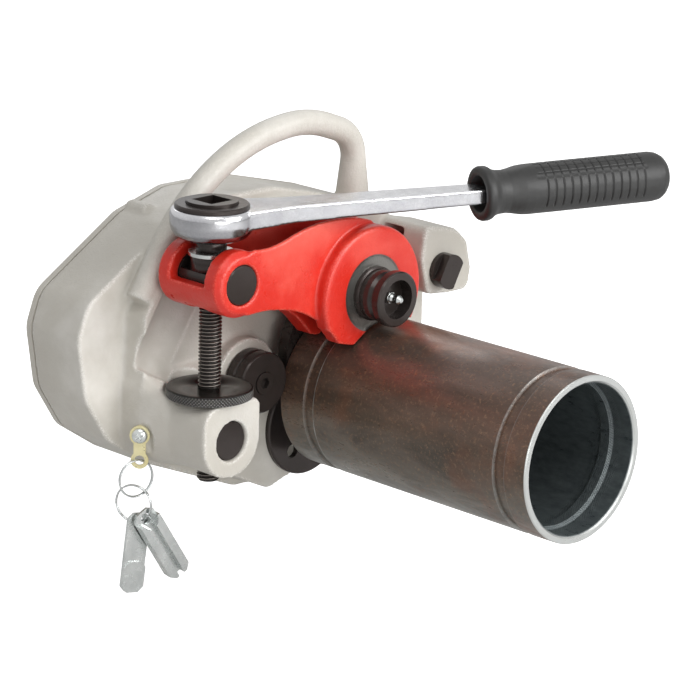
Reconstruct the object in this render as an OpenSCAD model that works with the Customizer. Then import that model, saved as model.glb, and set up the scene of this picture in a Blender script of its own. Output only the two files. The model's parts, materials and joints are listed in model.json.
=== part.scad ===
// Pipe roll groover
// X to the right and Y towards the back, seen from the pipe end, and Z up.
// The origin lies in the middle of the foot's depth, under the drive shaft.

/* [Pipe and groove] */
// Outer diameter of the pipe
pipe_od = 114.3; // [100:0.1:120]
// Wall of the pipe
pipe_wall = 5.4; // [4:0.1:6]
// Length of the pipe
pipe_len = 226.8; // [120:1:400]
// Depth of the rolled groove
groove_depth = 2.1; // [1.5:0.1:2.4]
// Width of the rolled groove
groove_w = 9.6; // [8:0.1:10]
// From the front end of the pipe to the finished groove
front_seat = 18.4; // [14:0.2:24]
// From the back end of the pipe to the middle of the groove being rolled
back_seat = 27.2; // [25:0.2:28]

/* [Drive] */
// Height of the drive shaft over the foot
drive_h = 103; // [100:0.5:106]
// Radius of the knurled drive roll
drive_roll_r = 22; // [20:0.5:23]
// Radius of the pipe stop flange
flange_r = 44.5; // [40:0.5:46]
// Thickness of the pipe stop flange
flange_t = 11; // [9:0.5:11]
// Radius of the drive shaft in its bearings
shaft_r = 15; // [13:0.5:16]
// Radius of the rear shank that a power drive grips
shank_r = 14; // [12:0.5:14.5]
// Length of the rear shank outside the cover
shank_len = 46; // [35:1:70]
// Module of the gears
gear_module = 2.5; // [2.4:0.1:2.6]
// Teeth of the bull gear
gear_teeth = 36; // [35:1:38]
// Teeth of the pinion
pinion_teeth = 12; // [11:1:13]
// Width of the bull gear
gear_w = 22; // [18:1:24]
// Side of the square socket for the hand ratchet
socket_side = 12.8; // [12.7:0.1:13]

/* [Groove roll] */
// Radius of the rib that presses the groove
rib_r = 27; // [25:0.5:28]
// Radius of the roll beside the rib
land_r = 23.5; // [22:0.5:24]
// Width of the groove roll
roll_w = 22; // [20:0.5:22.5]
// Radius of the roll shaft
roll_shaft_r = 11; // [10:0.5:12]
// Radius of the knob on the roll shaft
knob_r = 19.3; // [17:0.1:22]
// How far the knob stands out of the arm
knob_out = 23; // [21:0.5:28]

/* [Arm] */
// Radius of the round head of the arm
head_r = 46.5; // [44:0.5:47.5]
// How far the head stands out of the front cheek
head_out = 9; // [7:0.5:10]
// Thickness of the front cheek
cheek_t = 12; // [11:0.5:13]
// Radius of the trunnion drum
drum_r = 22.8; // [22:0.1:24]
// Length of the trunnion drum
drum_len = 62; // [58:0.5:62]
// From the drive shaft to the feed screw, sideways
screw_out = 127; // [125:0.5:130]
// From the drive shaft to the arm pivot, sideways
pivot_out = 86; // [84:0.5:88]
// Height of the arm pivot over the drive shaft
pivot_up = 46; // [44:0.5:47]
// Radius of the pivot pin
pivot_r = 8; // [7:0.5:9]
// Radius of the arm lug
lug_r = 17; // [16:0.5:18]

/* [Feed screw] */
// Radius of the feed screw over its thread
screw_r = 7.9; // [7:0.1:8.2]
// Radius of both trunnions
trunnion_r = 13.75; // [13:0.05:14.5]
// From the lower trunnion to the upper one
trunnion_gap = 109.5; // [108:0.5:112]
// Height of the upper trunnion over the drive shaft
upper_up = 74; // [73:0.5:75]
// Length of the feed screw below the lower trunnion
screw_below = 32; // [28:1:40]
// Radius of the depth stop disc
disc_r = 29.6; // [28:0.2:31]
// Thickness of the depth stop disc
disc_t = 7; // [5:0.5:9]

/* [Ratchet] */
// Length of the ratchet from its head's middle to the end of its grip
ratchet_len = 343; // [300:1:380]
// Radius of the ratchet head
ratchet_head_r = 28.4; // [27:0.2:29]
// Height of the ratchet head
ratchet_head_h = 24; // [22:0.5:26]
// Radius of the ratchet cap
cap_r = 25.2; // [24:0.2:26]
// Radius of the grip
grip_r = 16; // [14:0.5:17]
// Length of the grip
grip_len = 146; // [120:1:160]
// Angle of the ratchet, turned forwards from the arm's direction
ratchet_angle = 20.5; // [10:0.5:40]

/* [Housing] */
// Width of the gear case beyond the feed screw and the arm pivot, both sides together
case_side = 108; // [104:1:112]
// Height of the gear case over the arm pivot
case_rise = 65; // [62:1:68]
// Depth of the gear case behind its front face
case_d = 50; // [48:0.5:56]
// How far the front casting stands out of the gear case
front_d = 20; // [18:0.5:22]
// Wall of the gear case
case_wall = 8; // [6:0.5:10]
// Depth of the rear cover
cover_d = 14; // [12:0.5:18]
// Radius of the carry handle
handle_r = 9; // [8:0.2:10]
// Height of the carry handle's corner points over the gear case
handle_rise = 53; // [48:1:58]

/* [Guide roller] */
// Radius of the guide roller
guide_r = 21.5; // [20:0.5:22]
// Width of the guide roller
guide_w = 17; // [15:0.5:17]

/* [Hidden] */

$fn = 64;
fine_fn = 96;
arc_steps = 6;
overrun = 1;
fit_gap = 0.05;
part_gap = 0.3;
loose_gap = 0.5;
cast_grey = [0.74, 0.72, 0.69];
arm_red = [0.86, 0.16, 0.12];
black_oxide = [0.16, 0.14, 0.14];
zinc = [0.72, 0.73, 0.74];

// Chamfer of turned pieces, and housing sizes
edge_cut = 1;
case_w = screw_out + pivot_out + case_side;
case_h = drive_h + pivot_up + case_rise;
handle_h = case_h + handle_rise;

// Places of the shafts, as [x, z]
roll_lean = 13.5;
pipe_r = pipe_od / 2;
pipe_ri = pipe_r - pipe_wall;
drive_at = [0, drive_h];
pipe_at = drive_at + (pipe_ri - drive_roll_r - part_gap) * [sin(roll_lean), -cos(roll_lean)];
roll_at = pipe_at + (pipe_r - groove_depth + rib_r + part_gap) * [-sin(roll_lean), cos(roll_lean)];
upper_at = [-screw_out, drive_h + upper_up];
lower_at = upper_at - [0, trunnion_gap];
pivot_at = [pivot_out, drive_h + pivot_up];
pinion_lean = 4;
gear_reach = gear_module * (gear_teeth + pinion_teeth) / 2;
pinion_at = drive_at + gear_reach * [-sin(pinion_lean), -cos(pinion_lean)];

// Planes along Y
wall_y = -(front_d + case_d / 2);
flange_gap = 12;
flange_back = wall_y - flange_gap;
flange_front = flange_back - flange_t;
pipe_back = flange_front - part_gap;
groove_y = pipe_back - back_seat;
roll_front = groove_y - roll_w / 2;
roll_back = groove_y + roll_w / 2;
side_play = 0.4;
cheek_back = roll_front - side_play;
head_front = cheek_back - cheek_t;
web_front = head_front + head_out;
rear_front = roll_back + side_play;
rear_back = flange_front - loose_gap;
drum_front = web_front;
drum_back = drum_front + drum_len;
screw_y = (drum_front + drum_back) / 2;
case_front = wall_y + front_d;
case_back = case_front + case_d;
cover_back = case_back + cover_d;

// A unit vector, a corner rounded to a radius, and an outline with all corners rounded
function unit(v) = v / norm(v);
function corner(p, q, s, r) =
    let(a = unit(p - q), b = unit(s - q), half = acos(max(-1, min(1, a * b))) / 2,
        c = q + unit(a + b) * r / sin(half), u = q + a * r / tan(half) - c,
        w = q + b * r / tan(half) - c, a0 = atan2(u.y, u.x), a1 = atan2(w.y, w.x),
        turn = (a1 - a0 + 540) % 360 - 180)
    [for (i = [0:arc_steps]) c + r * [cos(a0 + turn * i / arc_steps), sin(a0 + turn * i / arc_steps)]];
function rounded(pts, r) =
    let(n = len(pts))
    [for (i = [0:n - 1]) each corner(pts[(i + n - 1) % n], pts[i], pts[(i + 1) % n], is_list(r) ? r[i] : r)];

// An outline whose corners are cut twice, so that it runs in soft curves
function softer(pts) =
    let(n = len(pts))
    [for (i = [0:n - 1]) let(p = pts[i], q = pts[(i + 1) % n])
        each [0.75 * p + 0.25 * q, 0.25 * p + 0.75 * q]];
function soft(pts) = softer(softer(pts));

// An outline moved inwards by a wall, for points that run anticlockwise
function inset(pts, d) =
    let(n = len(pts))
    [for (i = [0:n - 1])
        let(p = pts[(i + n - 1) % n], q = pts[i], s = pts[(i + 1) % n],
            a = unit(q - p), b = unit(s - q), na = [-a.y, a.x], nb = [-b.y, b.x])
        q + d * (na + nb) / (1 + na * nb)];

// An outline of shares, stretched to a width and a height from a point
function stretched(shares, size, at = [0, 0]) = [for (p = shares) at + [p.x * size.x, p.y * size.y]];

// A slab whose outline lies in X and Z, from y0 back to y1
module slab(pts, y0, y1) {
    translate([0, y1, 0]) rotate([90, 0, 0]) linear_extrude(y1 - y0) polygon(pts);
}

// A round bar along Y, or a cone where a second radius is given
module bar_y(at, r, y0, y1, r1 = undef) {
    translate([at.x, y0, at.y]) rotate([-90, 0, 0])
        cylinder(r1 = r, r2 = is_undef(r1) ? r : r1, h = y1 - y0);
}

// A round bar with chamfered ends, along Y
module pin_y(at, r, y0, y1, c) {
    bar_y(at, r - c, y0, y0 + c, r);
    bar_y(at, r, y0 + c, y1 - c);
    bar_y(at, r, y1 - c, y1, r - c);
}

// A flat ring along Y
module ring_y(at, ri, ro, y0, y1) {
    difference() {
        bar_y(at, ro, y0, y1);
        bar_y(at, ri, y0 - overrun, y1 + overrun);
    }
}

// A hexagon along Y, by its width across the flats
module hex_y(at, across, y0, y1) {
    translate([at.x, y0, at.y]) rotate([-90, 0, 0])
        cylinder(d = across / cos(30), h = y1 - y0, $fn = 6);
}

// A turned piece along Y, from its [radius, distance] profile
module turned_y(at, y0, pts) {
    translate([at.x, y0, at.y]) rotate([-90, 0, 0]) rotate_extrude() polygon(pts);
}

// A straight bar between two points in the plane y
module leg(p, q, y, r0, r1) {
    turn = atan2(q.y - p.y, q.x - p.x);
    translate([p.x, y, p.y]) rotate([0, 90 - turn, 0]) cylinder(r1 = r0, r2 = r1, h = norm(q - p));
}

// A bend of a round bar at corner q of a path, in the plane y
module bend(p, q, s, y, bend_r, r) {
    a = unit(p - q);
    b = unit(s - q);
    half = acos(a * b) / 2;
    c = q + unit(a + b) * bend_r / sin(half);
    u = q + a * bend_r / tan(half) - c;
    w = q + b * bend_r / tan(half) - c;
    a0 = atan2(u.y, u.x);
    turn = (atan2(w.y, w.x) - a0 + 540) % 360 - 180;
    first = turn < 0 ? a0 + turn : a0;
    translate([c.x, y, c.y]) rotate([90, 0, 0]) rotate([0, 0, first])
        rotate_extrude(angle = abs(turn)) translate([bend_r, 0]) circle(r = r);
}
function bend_start(p, q, s, bend_r) =
    let(a = unit(p - q), b = unit(s - q)) q + a * bend_r / tan(acos(a * b) / 2);

// Gear case outline, as shares of its width and height, anticlockwise from the foot
case_shares = [[-0.16, 0], [0.2, 0], [0.33, 0.2], [0.375, 0.45], [0.375, 0.66], [0.35, 0.78],
    [0.17, 0.912], [-0.06, 0.995], [-0.24, 0.995], [-0.37, 0.935], [-0.585, 0.73],
    [-0.612, 0.62], [-0.592, 0.42], [-0.53, 0.27], [-0.42, 0.16]];
case_round = 22;
case_foot_round = 6;
case_pts = stretched(case_shares, [case_w, case_h]);
case_rounds = [for (i = [0:len(case_pts) - 1]) i < 2 ? case_foot_round : case_round];
case_inner_round = case_round - case_wall;

// Front casting outline, as shares of the same box
front_shares = [[-0.115, 0], [0.19, 0], [0.31, 0.2], [0.362, 0.45], [0.362, 0.62], [0.34, 0.77],
    [0.22, 0.87], [-0.03, 0.955], [-0.25, 0.94], [-0.37, 0.9], [-0.484, 0.68],
    [-0.49, 0.32], [-0.40, 0.2]];
front_round = 14;
front_pts = stretched(front_shares, [case_w, case_h]);

// Pocket behind the front wall, and the arch under the front edge of the foot
pocket_shares = [[-0.22, 0.1], [0.17, 0.1], [0.2, 0.4], [0.18, 0.8], [-0.1, 0.86], [-0.22, 0.8]];
pocket_wall = 10;
arch_h = 6.5;
arch_shares = [[-0.118, 0], [-0.05, 1], [0.05, 1], [0.118, 0]];

// Hollow in the front wall beside the feed screw
hollow_r = 18;
hollow_rise = 8;
hollow_shares = [[-0.335, 0.84], [-0.475, 0.5]];

// Carry handle path, in X and Z, as shares of the width and the handle's height
handle_y = wall_y + handle_r + side_play;
handle_shares = [[-0.474, 0.584], [-0.288, 0.938], [0.007, 0.973], [0.1505, 0.912], [0.1505, 0.73]];
handle_path = stretched(handle_shares, [case_w, handle_h]);
handle_bend_shares = [0, 0.46, 0.28, 0.075];
handle_bends = [for (b = handle_bend_shares) b * case_w];
handle_foot_r = 1.4 * handle_r;
bend_over = 0.05;

// Arm hood, feed screw boss and roller pad
hood_back = 20;
hood_front = web_front + hood_back;
lug_out = 22.5;
lug_stand = 4.2;
lug_front = wall_y - lug_out;
lug_back = wall_y - lug_stand;
hood_shares = [[-0.42, -0.48], [0.2, -0.55], [0.86, -0.56], [0.93, -0.1], [0.78, 0.5], [0.42, 0.82],
    [-0.5, 1.02], [-0.62, 0.3]];
hood_reach = 2 * lug_r;
hood_pts = stretched(hood_shares, [hood_reach, hood_reach], pivot_at);
hood_round = 7;
boss_out = 57;
boss_front = wall_y - boss_out;
boss_half = 25.5;
boss_up = 26.5;
boss_top = lower_at.y + boss_up;
boss_right_round = 5;
boss_left_round = 14;
boss_rounds = [boss_half - edge_cut, boss_half - edge_cut, boss_right_round, boss_left_round];
boss_spread = 1.25;
boss_rise = 14;
boss_drop = 1;
boss_back_t = 22;
boss_mid = wall_y - boss_back_t;
pad_r = 28;
guide_gap = part_gap;
guide_lean = 12;
guide_reach = pipe_r + guide_r + guide_gap;
guide_at = pipe_at + guide_reach * [-cos(guide_lean), sin(guide_lean)];
pad_out = 11;
guide_back = wall_y - pad_out;
guide_front = guide_back - guide_w;
guide_bore_r = 10;
guide_lip_r = 8;
guide_lip = 4;
shoulder_r = 6;
slot_x = 11;
slot_y = 9.5;
case_lug_r = 6;
case_lug_share = [-0.335, 0.945];

// Bearings of the drive shaft and pinion
bearing_wall = 9;
bearing_w = 18;
bearing_in = 2;
bearing_lap = 6;
front_bearing_y = wall_y + bearing_in;
rear_bearing_y = case_back - bearing_lap;
step_y = rear_bearing_y + bearing_w;
pinion_r = gear_module * pinion_teeth / 2;
pinion_shaft_r = 10;
bush_t = 4;
gear_in = 12;
gear_y = case_front + gear_in;
gear_r = gear_module * gear_teeth / 2;
cap_plate_r = 37.4;
cap_plate_t = 4;
cap_seat = 1;
cap_screw_len = 12;
cap_pcd_r = 23;
cap_screw_angles = [352, 112];
jack_angle = 232;
jack_r = 5;
jack_depth = 8;
jack_at = pinion_at + cap_pcd_r * [cos(jack_angle), sin(jack_angle)];
seal_t = 6;
seal_wall = 5;
seal_land_r = shank_r + loose_gap;
neck_out = 6;

// Fasteners
pin_head_r = 12.6;
pin_flats = 16;
pin_collar_t = 3.5;
pin_head_t = 10;
nut_across = 24;
nut_t = 9;
nut_seat_r = 15;
screw_small_r = 3;
screw_head_r = 5;
screw_head_h = 6;
head_room = 1;
screw_reach = 20;
screw_floor = 4;
cover_seat = 3;
cover_screw_len = 18;
guide_screw_r = 4;
guide_screw_in = 7;
cover_screw_inset = 12;
cover_screw_steps = [0, 1, 3, 5, 6, 8, 10, 12, 14];
cover_screw_at = [for (i = cover_screw_steps) inset(case_pts, cover_screw_inset)[i]];

// Screw heights along Z
trunnion_flat = 5;
hub_h = 10.5;
washer_t = 2.5;
collar_h = 8.5;
hub_r = 14;
washer_r = 15.6;
washer_room = 1.5;
collar_r = 10.3;
neck_r = 9.3;
screw_tip = 1.2;
flat_z = upper_at.y + trunnion_flat;
washer_z = flat_z + hub_h;
collar_z = washer_z + washer_t;
ratchet_z = collar_z + collar_h;
drive_side = 19;
drive_h_in = 14;
screw_bottom = lower_at.y - screw_below;
disc_z = boss_top + part_gap;
disc_room = 1.5;
lug_room = 2;
slot_top = 10;

module at_cover_screws() {
    for (p = cover_screw_at) translate([p.x, 0, p.y]) children();
}

module handle() {
    n = len(handle_path);
    for (i = [0:n - 2]) {
        p = handle_path[i];
        q = handle_path[i + 1];
        way = overrun * unit(q - p);
        from = i == 0 ? p : bend_start(q, p, handle_path[i - 1], handle_bends[i]) - way;
        to = i == n - 2 ? q : bend_start(p, q, handle_path[i + 2], handle_bends[i + 1]) + way;
        leg(from, to, handle_y, handle_r, i == n - 2 ? handle_foot_r : handle_r);
        if (i < n - 2) bend(p, q, handle_path[i + 2], handle_y, handle_bends[i + 1], handle_r + bend_over);
    }
}

// Outline of the feed screw boss, spread sideways and risen at the top
function boss_pts(spread, drop, rise) =
    let(h = boss_half)
    rounded([for (p = [[-h, -h - drop], [h, -h - drop], [h, boss_up + rise], [-h, boss_up + rise]])
        lower_at + [p.x * spread, p.y]], boss_rounds);

module feed_boss() {
    end = case_front + overrun;
    slab(boss_pts(1, 0, 0), boss_front, boss_mid + overrun);
    hull() {
        slab(boss_pts(1, 0, 0), boss_mid, boss_mid + overrun);
        slab(boss_pts(boss_spread, boss_drop, boss_rise), wall_y, end);
    }
}

// Room in the hood for the arm's rear cheek, over the travel of the arm
travel = 8;
module lug_slot() {
    reach = 3 * lug_r;
    rise = tan(travel) * reach;
    top = lug_r + slot_top;
    slab([for (p = [[0, -top], [0, top], [-reach, top + rise], [-reach, -top]]) pivot_at + p],
        lug_front - loose_gap, lug_back + loose_gap);
}

module frame_shell() {
    difference() {
        union() {
            slab(rounded(case_pts, case_rounds), case_front, case_back);
            slab(rounded(front_pts, front_round), wall_y, case_front + case_wall);
            handle();
            slab(rounded(hood_pts, hood_round), hood_front, wall_y + overrun);
            feed_boss();
            bar_y(guide_at, pad_r, guide_back + guide_gap, wall_y + overrun);
        }
        slab(rounded(inset(case_pts, case_wall), case_inner_round),
            case_front + case_wall, case_back + overrun);
        slab(rounded(stretched(pocket_shares, [case_w, case_h]), front_round),
            wall_y + pocket_wall, case_front + case_wall + overrun);
        // Arch under the front edge, between the two feet
        slab(stretched(arch_shares, [case_w, arch_h]), wall_y - overrun, case_front);
        // Hollow between the left flank and the flat front wall
        leg(stretched(hollow_shares, [case_w, case_h])[0], stretched(hollow_shares, [case_w, case_h])[1],
            wall_y - hollow_rise, hollow_r, hollow_r);
    }
}

module frame() {
    color(cast_grey) difference() {
        union() {
            frame_shell();
            bar_y(drive_at, shaft_r + 2 * bearing_wall, wall_y, front_bearing_y + bearing_w + overrun);
            bar_y(pinion_at, pinion_r + bearing_wall, wall_y, gear_y - side_play);
            at_cover_screws() rotate([-90, 0, 0]) translate([0, 0, case_back - screw_reach])
                cylinder(r = screw_head_r + screw_small_r, h = screw_reach);
            bar_y(stretched([case_lug_share], [case_w, case_h])[0], case_lug_r,
                case_back - screw_reach, case_back);
        }
        // Bores of the drive shaft and its front bearing
        bar_y(drive_at, shaft_r + bearing_wall, wall_y - overrun, front_bearing_y + bearing_w);
        bar_y(drive_at, shaft_r + loose_gap, wall_y, case_back);
        // Bore of the pinion bush
        bar_y(pinion_at, pinion_shaft_r + bush_t, wall_y - overrun, case_back);
        // Pocket for the arm lug and its way in, the bore of the pivot pin and the seat of its nut
        bar_y(pivot_at, lug_r + lug_room, lug_front - loose_gap, lug_back + loose_gap);
        lug_slot();
        bar_y(pivot_at, pivot_r + fit_gap, hood_front - overrun, case_front + case_wall + overrun);
        bar_y(pivot_at, nut_seat_r, case_front + case_wall, case_back);
        // Bore of the lower trunnion and the slot that the feed screw swings in
        bar_y(lower_at, trunnion_r + fit_gap, boss_front - overrun, boss_front + drum_len);
        translate([lower_at.x - slot_x, screw_y - slot_y, 0])
            cube([2 * slot_x, 2 * slot_y, boss_top + overrun]);
        // Seat of the depth stop disc over the boss
        translate([lower_at.x, screw_y, boss_top]) cylinder(r = disc_r + disc_room, h = 3 * disc_t);
        // Thread hole of the guide roller screw
        bar_y(guide_at, guide_screw_r, guide_back - overrun, wall_y + guide_screw_in + overrun);
        // Thread holes of the cover screws and cap screws
        at_cover_screws() rotate([-90, 0, 0]) translate([0, 0, case_back - screw_reach + screw_floor])
            cylinder(r = screw_small_r, h = screw_reach);
        for (a = cap_screw_angles)
            bar_y(pinion_at + cap_pcd_r * [cos(a), sin(a)], screw_small_r,
                wall_y - overrun, wall_y + cap_screw_len);
        bar_y(jack_at, jack_r, wall_y - overrun, wall_y + jack_depth);
        lanyard_seat();
    }
}

module bearing_cap() {
    front = wall_y - cap_plate_t;
    color(black_oxide) difference() {
        union() {
            bar_y(pinion_at, cap_plate_r - edge_cut, front, front + edge_cut, cap_plate_r);
            bar_y(pinion_at, cap_plate_r, front + edge_cut, wall_y);
        }
        for (a = cap_screw_angles) {
            at = pinion_at + cap_pcd_r * [cos(a), sin(a)];
            bar_y(at, screw_small_r + fit_gap, front - overrun, wall_y + overrun);
            bar_y(at, screw_head_r + fit_gap, front - overrun, wall_y - cap_seat);
        }
        bar_y(jack_at, jack_r, front - overrun, wall_y + overrun);
    }
}

// A socket head screw along Y, with its head's underside at y and its point at y + reach
module socket_screw(at, r, head_r, head_h, y, reach) {
    difference() {
        union() {
            bar_y(at, head_r, y - head_h, y);
            bar_y(at, r, y, y + reach);
        }
        hex_y(at, 1.1 * head_r, y - head_h - overrun, y - head_h / 2);
    }
}

module bearing_cap_screws() {
    color(black_oxide) for (a = cap_screw_angles)
        socket_screw(pinion_at + cap_pcd_r * [cos(a), sin(a)], screw_small_r - fit_gap,
            screw_head_r - fit_gap, cap_plate_t - cap_seat - loose_gap, wall_y - cap_seat, cap_screw_len);
}

module rear_cover() {
    back = inset(case_pts, cover_screw_inset);
    color(cast_grey) difference() {
        union() {
            hull() {
                slab(rounded(case_pts, case_rounds), case_back, case_back + cover_d / 3);
                slab(rounded(back, case_round - cover_screw_inset), case_back, cover_back);
            }
            bar_y(drive_at, shaft_r + 2 * bearing_wall, rear_bearing_y, cover_back + neck_out);
            bar_y(pinion_at, pinion_r + bearing_wall, rear_bearing_y, cover_back + neck_out / 2);
        }
        bar_y(drive_at, shaft_r + bearing_wall, rear_bearing_y - overrun, rear_bearing_y + bearing_w);
        bar_y(drive_at, shaft_r + seal_wall, rear_bearing_y, cover_back + neck_out + overrun);
        bar_y(pinion_at, pinion_shaft_r + bush_t, rear_bearing_y - overrun, cover_back + neck_out);
        at_cover_screws() rotate([-90, 0, 0]) translate([0, 0, case_back - overrun]) {
            cylinder(r = screw_small_r + fit_gap, h = 2 * cover_d);
            translate([0, 0, cover_seat + overrun]) cylinder(r = screw_head_r + head_room, h = cover_d);
        }
    }
}

module cover_screws() {
    color(black_oxide) at_cover_screws() translate([0, case_back + cover_seat, 0]) rotate([180, 0, 0])
        socket_screw([0, 0], screw_small_r - fit_gap, screw_head_r, screw_head_h, 0, cover_screw_len);
}

module front_bearing() {
    color(zinc) ring_y(drive_at, shaft_r + fit_gap, shaft_r + bearing_wall - fit_gap,
        front_bearing_y, front_bearing_y + bearing_w);
}

module rear_bearing() {
    color(zinc) ring_y(drive_at, shaft_r + fit_gap, shaft_r + bearing_wall - fit_gap,
        rear_bearing_y, rear_bearing_y + bearing_w);
}

module shaft_seal() {
    end = cover_back + neck_out;
    color(black_oxide) ring_y(drive_at, seal_land_r + fit_gap, shaft_r + seal_wall, end - seal_t, end);
}

module pinion_bushes() {
    color("goldenrod") {
        ring_y(pinion_at, pinion_shaft_r + fit_gap, pinion_shaft_r + bush_t, wall_y, gear_y - side_play);
        ring_y(pinion_at, pinion_shaft_r + fit_gap, pinion_shaft_r + bush_t, rear_bearing_y,
            cover_back + neck_out / 2);
    }
}

// A spur gear along Y with straight-flanked teeth narrowed towards their tips
module gear(at, teeth, y0, y1, turn) {
    r = gear_module * teeth / 2;
    tip = r + gear_module * 0.92;
    root = r - gear_module * 1.2;
    step = 360 / teeth;
    tooth = [[root, -0.30], [r, -0.235], [tip, -0.11], [tip, 0.11], [r, 0.235], [root, 0.30]];
    pts = [for (i = [0:teeth - 1]) for (p = tooth)
        p[0] * [cos(turn + (i + p[1]) * step), sin(turn + (i + p[1]) * step)]];
    translate([at.x, 0, at.y]) slab(pts, y0, y1);
}

mesh_turn = 270 - pinion_lean;
gear_hub_wall = 8;
gear_rim_t = 9;
gear_web_in = 4;
module bull_gear() {
    end = gear_y + gear_w;
    color("slategray") difference() {
        gear(drive_at, gear_teeth, gear_y, end, mesh_turn);
        bar_y(drive_at, shaft_r, gear_y - overrun, end + overrun);
        ring_y(drive_at, shaft_r + gear_hub_wall, gear_r - gear_rim_t,
            gear_y - overrun, gear_y + gear_web_in);
        ring_y(drive_at, shaft_r + gear_hub_wall, gear_r - gear_rim_t, end - gear_web_in, end + overrun);
        key_block(key_over);
    }
}

key_w = 8;
key_over = 3;
module key_block(over) {
    translate([drive_at.x - key_w / 2, gear_y, drive_at.y + shaft_r - key_over])
        cube([key_w, gear_w, key_over + over]);
}

module gear_key() {
    color("gray") key_block(key_over);
}

clip_t = 2;
clip_in = 1.2;
clip_out = 3;
module gear_ring() {
    color("gray") ring_y(drive_at, shaft_r - clip_in, shaft_r + clip_out,
        gear_y + gear_w, gear_y + gear_w + clip_t);
}

roll_lead = 14;
roll_edge = 1.5;
bead_room = 1.5;
bead_drop = 1.4;
shaft_edge = 2;
shoulder_out = 6;
centre_r = 5;
centre_in = 3;
flat_in = 2;
flats_len = 24;
jaw_in = 0.5;
module drive_shaft() {
    front = groove_y - roll_lead;
    end = cover_back + shank_len;
    bead = groove_w / 2 + bead_room;
    land_end = cover_back + neck_out + edge_cut;
    color(black_oxide) difference() {
        union() {
            bar_y(drive_at, drive_roll_r - roll_edge, front, front + roll_edge, drive_roll_r);
            bar_y(drive_at, drive_roll_r, front + roll_edge, flange_front);
            bar_y(drive_at, flange_r, flange_front, flange_back - shaft_edge);
            bar_y(drive_at, flange_r, flange_back - shaft_edge, flange_back, flange_r - shaft_edge);
            bar_y(drive_at, shaft_r + shoulder_out, flange_back, front_bearing_y - side_play);
            bar_y(drive_at, shaft_r, front_bearing_y - side_play, step_y);
            bar_y(drive_at, seal_land_r, step_y, land_end);
            bar_y(drive_at, shank_r, land_end, end - flats_len - shaft_edge);
            bar_y(drive_at, shank_r - jaw_in, end - flats_len - shaft_edge, end - shaft_edge);
            bar_y(drive_at, shank_r - jaw_in, end - shaft_edge, end, shank_r - shaft_edge);
        }
        // Groove that the bead inside the pipe runs in, and the centre drilling
        ring_y(drive_at, drive_roll_r - groove_depth - bead_drop, drive_roll_r + overrun,
            groove_y - bead, groove_y + bead);
        bar_y(drive_at, centre_r, front - overrun, front + centre_in, centre_r / 2);
        // Keyway and ring groove of the bull gear
        key_block(overrun + key_over);
        ring_y(drive_at, shaft_r - clip_in, shaft_r + overrun, gear_y + gear_w, gear_y + gear_w + clip_t);
        // Three flats on the end of the shank, which is thinner there than its round land
        for (a = [90, 210, 330]) translate([drive_at.x, 0, drive_at.y]) rotate([0, a, 0])
            translate([shank_r - flat_in, end - flats_len, -shank_r])
                cube([2 * shank_r, flats_len + overrun, 2 * shank_r]);
    }
}

pinion_out = 2;
socket_in = 14;
module input_pinion() {
    end = cover_back + neck_out + pinion_out;
    half_step = pinion_teeth % 2 == 0 ? 180 / pinion_teeth : 0;
    color(black_oxide) difference() {
        union() {
            bar_y(pinion_at, pinion_shaft_r, wall_y + part_gap, end);
            gear(pinion_at, pinion_teeth, gear_y, gear_y + gear_w, 90 - pinion_lean + half_step);
        }
        translate([pinion_at.x - socket_side / 2, end - socket_in, pinion_at.y - socket_side / 2])
            cube([socket_side, socket_in + overrun, socket_side]);
    }
}

// Tread of the guide roller, as shares of its radius and width
tread_shares = [[0.953, 0], [1, 0.06], [1, 0.42], [0.944, 0.48], [0.944, 0.54], [1, 0.6], [1, 0.94],
    [0.953, 1]];
module guide_roller() {
    color(black_oxide) turned_y(guide_at, guide_front, concat([[guide_lip_r, 0]],
        stretched(tread_shares, [guide_r, guide_w]),
        [[guide_bore_r, guide_w], [guide_bore_r, guide_lip], [guide_lip_r, guide_lip]]));
}

module roller_bush() {
    color("goldenrod") ring_y(guide_at, shoulder_r, guide_bore_r - fit_gap,
        guide_front + guide_lip, guide_back);
}

guide_hex = 7;
guide_hex_in = 3;
module roller_screw() {
    seat = guide_front + guide_lip;
    color(black_oxide) difference() {
        union() {
            bar_y(guide_at, guide_lip_r - part_gap, guide_front - edge_cut, seat - part_gap);
            bar_y(guide_at, shoulder_r - fit_gap, seat - overrun, guide_back + guide_gap);
            bar_y(guide_at, guide_screw_r - fit_gap, guide_back, wall_y + guide_screw_in);
        }
        hex_y(guide_at, guide_hex, guide_front - edge_cut - overrun, guide_front + guide_hex_in);
    }
}

module pipe() {
    g = groove_depth;
    half = groove_w / 2;
    flank = 0.8;
    edge = 0.6;
    bevel = 1.5;
    bead = 1;
    ends = [front_seat + half, pipe_len - back_seat];
    outer = [for (m = ends) each [[pipe_r, m - half], [pipe_r - g, m - half + flank],
        [pipe_r - g, m + half - flank], [pipe_r, m + half]]];
    inner = [for (m = [ends[1], ends[0]]) each [[pipe_ri, m + half + bead], [pipe_ri - g, m + half - bead],
        [pipe_ri - g, m - half + bead], [pipe_ri, m - half - bead]]];
    color([0.38, 0.33, 0.3]) translate([pipe_at.x, pipe_back - pipe_len, pipe_at.y]) rotate([-90, 0, 0])
        rotate_extrude($fn = fine_fn) polygon(concat([[pipe_ri + bevel, 0], [pipe_r - edge, 0],
            [pipe_r, edge]], outer, [[pipe_r, pipe_len - edge], [pipe_r - edge, pipe_len],
            [pipe_ri + edge, pipe_len], [pipe_ri, pipe_len - edge]], inner, [[pipe_ri, bevel]]));
}

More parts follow.
